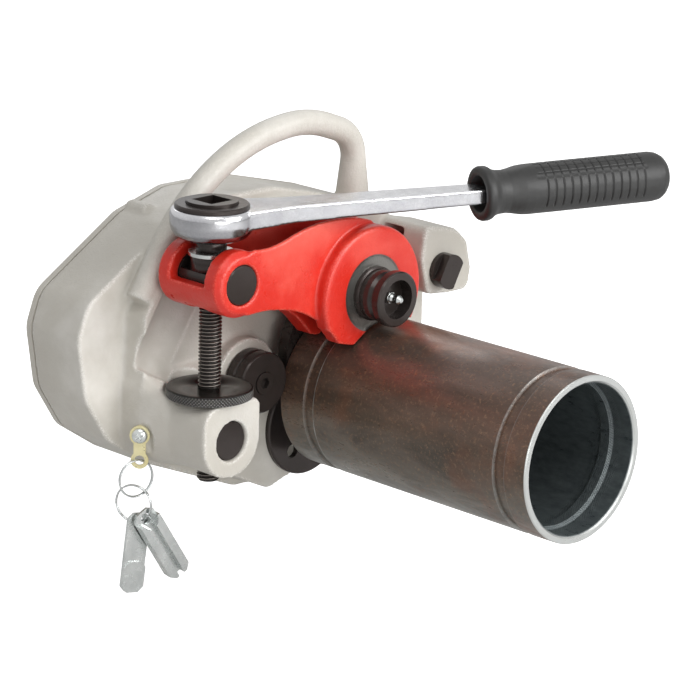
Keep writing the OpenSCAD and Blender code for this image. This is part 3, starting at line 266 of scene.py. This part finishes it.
def pipe_tint(p, along, grain, stain, r):
    """Brown scale with stains and rust, lighter and greyer towards the underside, and a bluish
    inside.
    """
    cloud = p.math("SUBTRACT", p.noise(16.0, 4.0, 0.55, at=along), 0.5)
    # Tone by height: lighter and greyer towards the underside
    level = p.math("SUBTRACT", p.split()[2], PIPE_AXIS[1])
    level = p.math("ADD", level, p.math("MULTIPLY", cloud, 0.05))
    brown = p.ramp(p.remap(level, -0.057, 0.057, 0.0, 1.0), [
        (0.05, srgb(140, 140, 135)), (0.28, srgb(122, 116, 107)), (0.5, srgb(98, 82, 70)),
        (0.78, srgb(108, 82, 69)), (1.0, srgb(104, 88, 80))])
    for noise, limits, colour in (
            (p.noise(520.0, 3.0, 0.6), (0.6, 0.72, 0.0, 0.55), srgb(150, 98, 66)),
            (stain, (0.36, 0.62, 0.75, 0.0), srgb(56, 50, 42)),
            (p.noise(11.0, 5.0, 0.6), (0.5, 0.64, 0.0, 0.6), srgb(132, 84, 60)),
            (p.noise(420.0, 4.0, 0.7), (0.54, 0.7, 0.0, 0.6), srgb(150, 118, 92))):
        brown = p.mix(p.remap(noise, *limits), brown, colour)
    mottle = p.remap(grain, 0.35, 0.65, 0.0, 1.0)
    inside = p.mix(mottle, srgb(74, 81, 83), srgb(96, 103, 104))
    return p.mix(p.remap(r, *BORE_PART, 0.0, 1.0), inside, brown)


def pipe_bright(p, y, r):
    """Bare steel at the pipe's cut end, and painted highlights in steel colour on its groove edges,
    each of its own strength.
    """
    half, soft, faint_share, least_share = 0.00035, 0.0004, 0.4, 0.12
    # Painted highlights on the four groove edges: the third strong and patchy, the second faint,
    # the first and fourth least
    first, second, third, fourth = [p.band(y, at - half, at + half, soft) for at in GROOVE_EDGES_Y]
    patchy = p.remap(p.noise(90.0, 4.0, 0.6), 0.35, 0.65, 0.3, 1.0)
    bright = p.math("MULTIPLY", third, patchy)
    faint = p.math("MULTIPLY", p.math("MULTIPLY", second, patchy), faint_share)
    least = p.math("MULTIPLY", p.math("MAXIMUM", first, fourth), least_share)
    for more in (faint, least):
        bright = p.math("MAXIMUM", bright, more)
    bright = p.math("MULTIPLY", bright, p.remap(r, *SKIN_PART, 0.0, 1.0))
    cut = p.remap(y, PIPE_FRONT + 0.0008, PIPE_FRONT + 0.0012, 1.0, 0.0)
    return p.math("MAXIMUM", bright, cut)


def mill_scale():
    """The steel pipe: scale, a bare cut end, painted highlights on groove edges, the drive roll's
    knurl print inside.
    """
    p = Mat("pipe_steel")
    y, r = p.split()[1], p.radius(PIPE_AXIS)
    along = p.node("Mapping", Vector=p.coord, Scale=(1.0, 0.35, 1.0)).outputs["Vector"]
    grain = p.noise(240.0, 6.0, 0.7, at=along)
    stain = p.noise(34.0, 8.0, 0.68, at=along, distortion=0.6)
    # Bare steel at the cut end, and painted highlights on the groove edges
    bright = pipe_bright(p, y, r)
    tint = p.mix(bright, pipe_tint(p, along, grain, stain, r), srgb(196, 198, 196))
    dull = p.remap(stain, 0.3, 0.7, 0.1, -0.02)
    gloss = p.math("ADD", p.remap(grain, 0.3, 0.7, 0.22, 0.36), dull)
    bore_r, print_pitch, print_soft = 0.052, 0.0018, 0.001
    inside = p.remap(r, *BORE_PART, 1.0, 0.0)
    rolled = p.math("MAXIMUM", *(p.band(y, *limits, print_soft) for limits in KNURL_PRINTS_Y))
    knurl = p.math("MULTIPLY", p.crossed(PIPE_AXIS, bore_r, print_pitch), inside)
    skin = p.bump(grain, 0.00016, 0.5, p.bump(p.noise(60.0, 3.0, 0.5, at=along), 0.0003, 0.25))
    p.set(Base_Color=tint, IOR=1.5, Metallic=p.remap(bright, 0.0, 1.0, 0.35, 0.9), Roughness=gloss,
          Normal=p.bump(p.math("MULTIPLY", knurl, rolled), 0.0002, 0.6, skin))
    return p


def knurled_steel():
    """Black oxide with a crossed knurl where the drive roll is, and turning marks elsewhere."""
    m = metal("knurled_oxide", srgb(68, 61, 58), srgb(50, 45, 42), 0.3, metallic=0.6)
    half, pitch, mark_pitch, mark_share = 0.0006, 0.0016, 0.0009, 0.06
    r = m.radius(DRIVE_AXIS)
    rim = m.band(r, DRIVE_ROLL_R - half, DRIVE_ROLL_R + half, 0.0002)
    on = m.math("MULTIPLY", rim, m.band(m.split()[1], *DRIVE_ROLL_Y, 0.0004))
    knurl = m.math("MULTIPLY", m.crossed(DRIVE_AXIS, DRIVE_ROLL_R, pitch), on)
    marks = m.math("SINE", m.math("MULTIPLY", r, FULL_TURN / mark_pitch))
    height = m.math("ADD", knurl, m.math("MULTIPLY", marks, mark_share))
    m.set(Normal=m.bump(height, 0.0003, 0.8))
    return m


def crested(name, base, dark, light, low, high):
    """Black oxide round the feed screw, lighter from one radius to another as wear and painted
    highlight, with painted shade in a thin band below them.
    """
    m = metal(name, base, dark, 0.24, metallic=0.6, scratch=0.15, round_edges=0, vary=0.02)
    pit, soft = 0.0003, 0.00005
    r = m.radius(SCREW_AXIS, (0, 1))
    # Painted shade in the roots: a thin dark band just below the lower radius
    tint = m.mix(m.band(r, low - pit, low, soft), m.tint(), srgb(14, 13, 12))
    # Lighter towards the crests, as wear and painted highlight
    m.set(Base_Color=m.mix(m.remap(r, low, high, 0.0, 1.0), tint, light))
    return m


GREY = srgb(187, 182, 172), srgb(196, 192, 183), srgb(222, 219, 213)
RED = srgb(198, 36, 24), srgb(209, 42, 28), srgb(232, 96, 80)
# The materials by the names of the record's slots
BY_SLOT = {
    "cast_paint": casting("cast_paint", GREY, 0.40, 1.0),
    "arm_paint": casting("arm_paint", RED, 0.33, 0.9, bare=spot_face),
    "black_oxide": metal("black_oxide", srgb(62, 55, 53), srgb(56, 50, 47), 0.24,
                         metallic=0.5, scratch=0.15, vary=0.02),
    "zinc": metal("zinc", srgb(224, 227, 225), srgb(200, 204, 203), 0.24),
    "yellow_zinc": metal("yellow_zinc", srgb(236, 228, 186), srgb(220, 208, 156), 0.34,
                         metallic=0.7),
    "chrome_steel": chrome_plate(),
    "gear_steel": metal("gear_steel", srgb(150, 150, 152), srgb(120, 120, 122), 0.32),
    "bronze": metal("bronze", srgb(196, 150, 86), srgb(164, 118, 62), 0.34),
    "grip_rubber": moulded_rubber(),
    "pipe_steel": mill_scale(),
}
# The rear cover's paint, without painted edge glints
COVER_PAINT = casting("cover_paint", GREY, 0.40, 1.0, edge_glints=False)
# Thread and depth stop knurl: crests lighter as wear and painted highlight, roots with painted
# shade
THREAD = crested("thread_oxide", srgb(50, 45, 42), srgb(44, 40, 37), srgb(126, 119, 113),
                 0.0073, 0.0079)
DISC = crested("disc_oxide", srgb(50, 46, 43), srgb(45, 41, 38), srgb(196, 193, 189),
               0.02926, 0.02946)
RING = metal("ring_zinc", srgb(220, 222, 222), srgb(186, 190, 190), 0.2, round_edges=0)


# Meshes
def shade(obj, m):
    """Gives a mesh one material in all its slots."""
    if not obj.data.materials:
        obj.data.materials.append(m.mat)
    for s in obj.material_slots:
        s.material = m.mat


def linked(name, data):
    """A new object in the scene."""
    obj = bpy.data.objects.new(name, data)
    bpy.context.scene.collection.objects.link(obj)
    return obj


def seat(obj, body, m, node):
    """Puts a new piece on a body, in the place of a node."""
    shade(obj, m)
    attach(obj, body)
    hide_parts(node)


def smooth(me):
    for p in me.polygons:
        p.use_smooth = True


def new_mesh(name, verts, faces, body, m, node):
    """A new piece from points in metres, on a body and in the place of a node."""
    me = bpy.data.meshes.new(name)
    me.from_pydata([tuple(v) for v in verts], [], faces)
    me.validate()
    me.update()
    smooth(me)
    obj = linked(name, me)
    seat(obj, body, m, node)
    return obj


def from_bmesh(name, b):
    """An object in the scene from a bmesh, which is used up."""
    me = bpy.data.meshes.new(name)
    b.to_mesh(me)
    b.free()
    return linked(name, me)


def bake(obj):
    """Gives an object the mesh that its modifiers make, and drops them."""
    evaluated = obj.evaluated_get(bpy.context.evaluated_depsgraph_get())
    me = bpy.data.meshes.new_from_object(evaluated)
    obj.modifiers.clear()
    obj.data = me
    return me


def grid_faces(rows, cols, closed=False):
    """Quads between rings of points counted row by row. Closed joins the last row to the first."""
    out = []
    for i in range(rows if closed else rows - 1):
        low, high = i * cols, (i + 1) % rows * cols
        for j in range(cols):
            k = (j + 1) % cols
            out.append((low + j, low + k, high + k, high + j))
    return out


def around(cols):
    """The angles of a full turn in even steps."""
    return [FULL_TURN * j / cols for j in range(cols)]


def about_screw(r, z, a):
    """A point round the feed screw's axis, from a radius and a height in mm and an angle."""
    return SCREW_AXIS[0] + r * MM * math.cos(a), SCREW_AXIS[1] + r * MM * math.sin(a), z * MM


def unit(v):
    """A number held within 0 and 1."""
    return min(1.0, max(0.0, v))


def soft_cast(node, body, voxel, passes, m):
    """A copy of a solid with its edges worn soft, as a sand casting has."""
    obj = nodes[node].copy()
    obj.data = obj.data.copy()
    obj.name = obj.data.name = node + "_cast"
    bpy.context.scene.collection.objects.link(obj)
    obj.parent = None
    obj.matrix_world = Matrix.Identity(4)
    remesh = obj.modifiers.new("remesh", "REMESH")
    remesh.mode = "VOXEL"
    remesh.voxel_size = voxel
    wear = obj.modifiers.new("smooth", "SMOOTH")
    wear.factor = 0.5
    wear.iterations = passes
    me = bake(obj)
    smooth(me)
    me.materials.clear()
    seat(obj, body, m, node)


def feed_screw():
    """The feed screw: a real thread with a chamfered tip, a collar with its hub, and a square."""
    oxide = BY_SLOT["black_oxide"]
    root, crest, pitch = 6.75, 7.88, 2.5
    low, high, cols, steps = 35.5, 182.1, 40, 8
    tip_r, tip_slope, land, flank = 6.6, 0.9, 1.25, 3.2
    rows = int((high - low) / pitch * steps) + 1
    verts = []
    for i in range(rows):
        z = low + (high - low) * i / (rows - 1)
        for j, a in enumerate(around(cols)):
            t = (z / pitch - j / cols) % 1.0
            r = root + (crest - root) * unit(land - abs(t - 0.5) * flank)
            verts.append(about_screw(min(r, tip_r + (z - low) * tip_slope), z, a))
    faces = grid_faces(rows, cols)
    faces += [((j + 1) % cols, j, len(verts)) for j in range(cols)]
    verts.append(about_screw(0, low, 0))
    new_mesh("feed_screw_thread", verts, faces, "feed_screw", THREAD, "feed_screw")

    head_cols = 64
    profile = [(7, 181), (13.4, 182.1), (14, 182.7), (14, 191.9), (13.4, 192.4), (9.2, 192.5),
               (9.2, 195), (9.9, 195), (10.3, 195.4), (10.3, 203.1), (9.9, 203.45), (7, 203.45)]
    verts = [about_screw(r, z, a) for r, z in profile for a in around(head_cols)]
    faces = grid_faces(len(profile), head_cols, closed=True)
    new_mesh("feed_screw_head", verts, faces, "feed_screw", oxide, "feed_screw")

    side, tall, mid, edge = 18.9 * MM, 14 * MM, 210.4 * MM, 0.6 * MM
    b = bmesh.new()
    bmesh.ops.create_cube(b, size=1.0)
    bmesh.ops.scale(b, vec=(side, side, tall), verts=b.verts)
    bmesh.ops.translate(b, vec=(*SCREW_AXIS, mid), verts=b.verts)
    bmesh.ops.bevel(b, geom=b.edges[:], offset=edge, segments=2, affect="EDGES")
    square = from_bmesh("feed_screw_square", b)
    seat(square, "feed_screw", oxide, "feed_screw")


def saw(x):
    """A wave of straight flanks that runs from 0 up to 1 and back."""
    return 1.0 - abs(2.0 * (x % 1.0) - 1.0)


def depth_stop():
    """The depth stop with a diamond knurl round its rim."""
    r, base, thick, hole = 29.6, 94.3, 7.0, 8.0
    cols, diamonds, rows, deep, margin = 1000, 80, 32, 0.7, 0.9
    top = base + thick
    low, high = base + margin, top - margin
    angles = around(cols)
    under = [(hole, base), (r - 1.4, base), (r - 0.6, base + 0.35)]
    over = [(r - 0.6, top - 0.35), (r - 1.3, top - 0.04), (r - 1.6, top), (hole, top)]
    verts = [about_screw(rr, z, a) for rr, z in under for a in angles]
    for i in range(rows):
        z = low + (high - low) * i / (rows - 1)
        lead = (z - low) / (FULL_TURN * r / diamonds)
        for j, a in enumerate(angles):
            u = j / cols * diamonds
            rr = r - deep + deep * min(saw(u + lead), saw(u - lead))
            verts.append(about_screw(rr, z, a))
    verts += [about_screw(rr, z, a) for rr, z in over for a in angles]
    faces = grid_faces(len(verts) // cols, cols, closed=True)
    new_mesh("depth_stop_disc", verts, faces, "depth_stop", DISC, "depth_stop")


def ratchet_grip():
    """The moulded grip: a flange, a waist, a squared body with a grid on top and ribs at its sides.

    It is drawn in mm along its own length, and angles round it are counted from its top.
    """
    length, end, height = 146.0, 342.85, 219.0
    tilt, turn = math.radians(1.2), math.radians(-20.5)
    outer = [(0.0, 17.2), (0.8, 18.5), (2.0, 19.0), (5.0, 19.0), (6.6, 18.4), (8.5, 17.0),
             (11.0, 15.9), (14.0, 15.3), (19.0, 15.0), (24.0, 15.5), (30.0, 16.5), (36.0, 16.9),
             (60.0, 17.0), (134.0, 17.0), (139.0, 16.3), (142.5, 14.6), (144.6, 12.3),
             (145.7, 8.5), (length, 3.0)]
    mouth = [(60.0, 5.0), (9.0, 5.2), (8.6, 12.4), (0.6, 12.6), (0.0, 13.2)]
    stations = [0, 0.8, 2, 3.5, 5, 6.6, 8.5, *(x / 2 for x in range(22, 292)), 145.7, length]
    half, depth, corner_depth = 0.55, 0.95, 0.25
    cross_start, cross_pitch, lines = 52.0, 6.4, (-40, -24, -8, 8, 24, 40)
    top_edge, side_start, side_end, top_fade, bottom_fade = 48, 54, 128, 3, 6
    grid_start, ribs_start, pattern_end, corner_more = 40, 44, 124, 2
    square_start, square_run, square_end, end_run = 20, 20, 143, 8
    power, swell, pinch, most = 1.1, 0.03, 0.06, 0.6
    angles = around(180)

    def place(x, r, a):
        """A point of the part's frame, from a station, a radius and an angle."""
        y, z = -r * math.sin(a), r * math.cos(a)
        x, z = x * math.cos(tilt) - z * math.sin(tilt), x * math.sin(tilt) + z * math.cos(tilt)
        x += end - length
        return (SCREW_AXIS[0] + MM * (x * math.cos(turn) - y * math.sin(turn)),
                SCREW_AXIS[1] + MM * (x * math.sin(turn) + y * math.cos(turn)),
                (height + z) * MM)

    def groove(d):
        """Depth at a distance from the middle of a groove."""
        return depth * max(0.0, 1.0 - (abs(d) / half) ** 3)

    def dip(x, r, a):
        """Depth of the pattern below the squared body."""
        deg = (math.degrees(a) + 180) % 360 - 180
        away = abs(deg)
        cross = (x - cross_start) / cross_pitch
        off = (cross - round(cross)) * cross_pitch
        if away < top_edge and grid_start < x < pattern_end:
            return max(groove(off), *(groove(math.radians(deg - line) * r) for line in lines))
        if side_start < away < side_end and ribs_start < x < pattern_end:
            fade = min(1.0, (away - side_start) / top_fade, (side_end - away) / bottom_fade)
            return groove(off) * fade
        at_corner = grid_start - corner_more < x < pattern_end + corner_more
        return corner_depth if at_corner and top_edge <= away <= side_start else 0.0

    verts = [place(x, r, a) for x, r in mouth for a in angles]
    dips = [0.0] * len(verts)
    for x in stations:
        r = float(np.interp(x, *zip(*outer)))
        square = unit((x - square_start) / square_run) * unit((square_end - x) / end_run)
        e = 2.0 + power * square
        for a in angles:
            rounded = (abs(math.cos(a)) ** e + abs(math.sin(a)) ** e) ** (1 / e)
            rr = r * (1.0 + swell * square) / rounded
            rr = min(rr * (1.0 - pinch * square * math.sin(2 * a) ** 2), r + most)
            dips.append(dip(x, r, a))
            verts.append(place(x, rr - dips[-1], a))
    cols = len(angles)
    faces = grid_faces(len(verts) // cols, cols)
    last = len(verts) - cols
    faces += [(last + j, last + (j + 1) % cols, len(verts)) for j in range(cols)]
    verts.append(place(length, 0, 0))
    dips.append(0.0)
    obj = new_mesh("ratchet_grip_moulding", verts, faces, "ratchet",
                   BY_SLOT["grip_rubber"], "ratchet_grip")
    obj.data.attributes.new("dip", "FLOAT", "POINT").data.foreach_set("value", dips)


def pan_head():
    """The lanyard screw's round head with a cross recess, drawn in mm along its own axis."""
    tab, rim, flat_r, dome_r, dome = 1.4, 0.8, 0.9, 4.5, 2.8
    recess, recess_at = (5.2, 1.1, 3.0), 3.9
    profile = [(5.2, 0.0), (5.4, 0.25), (5.4, rim)]
    for a in (math.radians(deg) for deg in range(10, 91, 10)):
        profile.append((flat_r + dome_r * math.cos(a), rim + dome * math.sin(a)))
    cols, b = 48, bmesh.new()
    rows = [[b.verts.new((r * math.cos(a), r * math.sin(a), tab + h)) for a in around(cols)]
            for r, h in profile]
    for low, high in zip(rows, rows[1:]):
        for j in range(cols):
            k = (j + 1) % cols
            b.faces.new((low[j], low[k], high[k], high[j]))
    b.faces.new(list(reversed(rows[0])))
    b.faces.new(rows[-1])
    head = from_bmesh("lanyard_screw_head", b)
    b = bmesh.new()
    for turn in (30, 120):
        made = bmesh.ops.create_cube(b, size=1.0)["verts"]
        bmesh.ops.scale(b, vec=recess, verts=made)
        bmesh.ops.translate(b, vec=(0, 0, tab + recess_at), verts=made)
        bmesh.ops.rotate(b, matrix=Matrix.Rotation(math.radians(turn), 3, "Z"), verts=made)
    tool = from_bmesh("recess_tool", b)
    cut = head.modifiers.new("recess", "BOOLEAN")
    cut.operation, cut.object, cut.use_self = "DIFFERENCE", tool, True
    me = bake(head)
    bpy.data.objects.remove(tool)
    facing = Matrix.Rotation(LANYARD_TURN, 4, "Z") @ Matrix.Rotation(math.radians(90), 4, "X")
    me.transform(Matrix.Translation(LANYARD_AT) @ facing @ Matrix.Scale(MM, 4))
    seat(head, "frame", BY_SLOT["zinc"], "lanyard_screw")


def split_ring(name, node, body, centre, turn):
    """Two turns of wire side by side, with a crossing and two cut ends."""
    big, wire, shift, cut_end = 12.9, 0.62, 0.6, 0.7
    first, length = math.radians(200), 2 * FULL_TURN * 0.985
    cross_start, cross_run = 0.46, 0.08
    ax = Vector((math.cos(turn), math.sin(turn), 0.0))
    nrm = Vector((-math.sin(turn), math.cos(turn), 0.0))
    steps, sides = 150, 10
    verts = []
    for i in range(steps):
        f = i / (steps - 1)
        a = first + f * length
        k = unit((f - cross_start) / cross_run)
        off = shift * (1 - 2 * (k * k * (3 - 2 * k)))
        out = ax * math.cos(a) + Vector((0, 0, 1)) * math.sin(a)
        mid = Vector(centre) + out * big * MM + nrm * off * MM
        thick = wire if 0 < i < steps - 1 else wire * cut_end
        for b in around(sides):
            verts.append(mid + (out * math.cos(b) + nrm * math.sin(b)) * thick * MM)
    faces = grid_faces(steps, sides)
    faces.append(tuple(reversed(range(sides))))
    faces.append(tuple((steps - 1) * sides + j for j in range(sides)))
    new_mesh(name, verts, faces, body, RING, node)


for entry in frame["record"]["subparts"]:
    shade(nodes[entry["node"]], BY_SLOT[entry["material_slot"]])
shade(nodes["drive_shaft"], knurled_steel())
shade(nodes["rear_cover"], COVER_PAINT)
soft_cast("frame", "frame", 1.5 * MM, 6, BY_SLOT["cast_paint"])
soft_cast("arm", "arm", 1.0 * MM, 6, BY_SLOT["arm_paint"])
soft_cast("ratchet_body", "ratchet", 0.7 * MM, 10, BY_SLOT["chrome_steel"])
feed_screw()
depth_stop()
ratchet_grip()
pan_head()
split_ring("upper_ring_wire", "upper_split_ring", "upper_ring", UPPER_RING_AT, UPPER_RING_TURN)
split_ring("lower_ring_wire", "lower_split_ring", "lower_ring", LOWER_RING_AT, LOWER_RING_TURN)


# Camera at the photograph's place, fitted to the circles of the pipe
CAM_AT = Vector((-1.4672, -1.5256, 0.6949))
CAM_AZ, CAM_EL, CAM_ROLL = math.radians(-45.53), math.radians(16.03), math.radians(1.60)
SENSOR, LENS, FAR = 36.0, 157.76, 20.0

back = Vector((math.sin(CAM_AZ) * math.cos(CAM_EL), -math.cos(CAM_AZ) * math.cos(CAM_EL),
               math.sin(CAM_EL)))
right = Vector((math.cos(CAM_AZ), math.sin(CAM_AZ), 0.0))
up = back.cross(right)
side = right * math.cos(CAM_ROLL) + up * math.sin(CAM_ROLL)
top = -right * math.sin(CAM_ROLL) + up * math.cos(CAM_ROLL)
cam = bpy.data.cameras.new("camera")
cam.sensor_width = SENSOR
cam.sensor_fit = "HORIZONTAL"
cam.lens = LENS
cam.clip_end = FAR
cam_obj = linked("camera", cam)
cam_obj.matrix_world = Matrix.Translation(CAM_AT) @ Matrix((side, top, back)).transposed().to_4x4()
bpy.context.scene.camera = cam_obj

# Floor and light
WHITE = (1.0, 1.0, 1.0, 1.0)
FLOOR_SIZE, FLOOR_COLOUR, FLOOR_ROUGH, FLOOR_GLOW = 30.0, (0.8, 0.8, 0.8, 1.0), 0.9, 0.85
SKY_LOW, SKY_HIGH, SKY_IN_GLOSS = 0.42, 1.0, 0.6
# Each lamp has its place, the point that it looks at, its two sides and its power
LAMPS = {
    "key": ((-0.7, -0.9, 1.7), (0, -0.1, 0.1), (1.0, 1.0), 9.5),
    "front": ((0.5, -1.8, 0.9), (0, -0.1, 0.12), (1.2, 1.0), 27.0),
    "low": ((-0.6, -1.9, 0.15), (0, -0.1, 0.12), (1.2, 0.8), 9.5),
    "rim": ((0.8, 1.1, 1.2), (0, 0, 0.15), (1.0, 0.6), 2.5),
}


def floor_paint():
    """White that takes shadows, and that also glows where the camera looks at it."""
    mat = bpy.data.materials.new("floor")
    mat.use_nodes = True
    t = Tree(mat.node_tree)
    bsdf = t.tree.nodes["Principled BSDF"]
    t.put(bsdf, "Base_Color", FLOOR_COLOUR)
    t.put(bsdf, "Roughness", FLOOR_ROUGH)
    lit, mixed = t.node("AddShader"), t.node("MixShader")
    t.put(lit, 0, bsdf.outputs[0])
    t.put(lit, 1, t.node("Emission", Color=WHITE, Strength=FLOOR_GLOW).outputs[0])
    t.put(mixed, 0, t.node("LightPath").outputs["Is Camera Ray"])
    t.put(mixed, 1, bsdf.outputs[0])
    t.put(mixed, 2, lit.outputs[0])
    t.put(t.tree.nodes["Material Output"], "Surface", mixed.outputs[0])
    return mat


def white_sky():
    """An even white, weaker as light than it looks to the camera and, in part, in gloss."""
    world = bpy.data.worlds.new("world")
    bpy.context.scene.world = world
    world.use_nodes = True
    t = Tree(world.node_tree)
    path = t.node("LightPath").outputs
    gloss = t.math("MULTIPLY", path["Is Glossy Ray"], SKY_IN_GLOSS)
    seen = t.math("MAXIMUM", path["Is Camera Ray"], gloss)
    bg = t.tree.nodes["Background"]
    t.put(bg, "Color", WHITE)
    t.put(bg, "Strength", t.remap(seen, 0.0, 1.0, SKY_LOW, SKY_HIGH))


bpy.ops.mesh.primitive_plane_add(size=FLOOR_SIZE, location=(0, 0, FLOOR_Z))
floor = bpy.context.object
floor.name = "floor"
floor.data.materials.append(floor_paint())
white_sky()
for name, (at, to, sides, power) in LAMPS.items():
    lamp = bpy.data.lights.new(name, "AREA")
    lamp.shape = "RECTANGLE"
    lamp.size, lamp.size_y = sides
    lamp.energy = power
    lamp_obj = linked(name, lamp)
    lamp_obj.location = at
    lamp_obj.rotation_euler = (Vector(at) - Vector(to)).to_track_quat("Z", "Y").to_euler()

scene = bpy.context.scene
scene.view_settings.view_transform = "Standard"
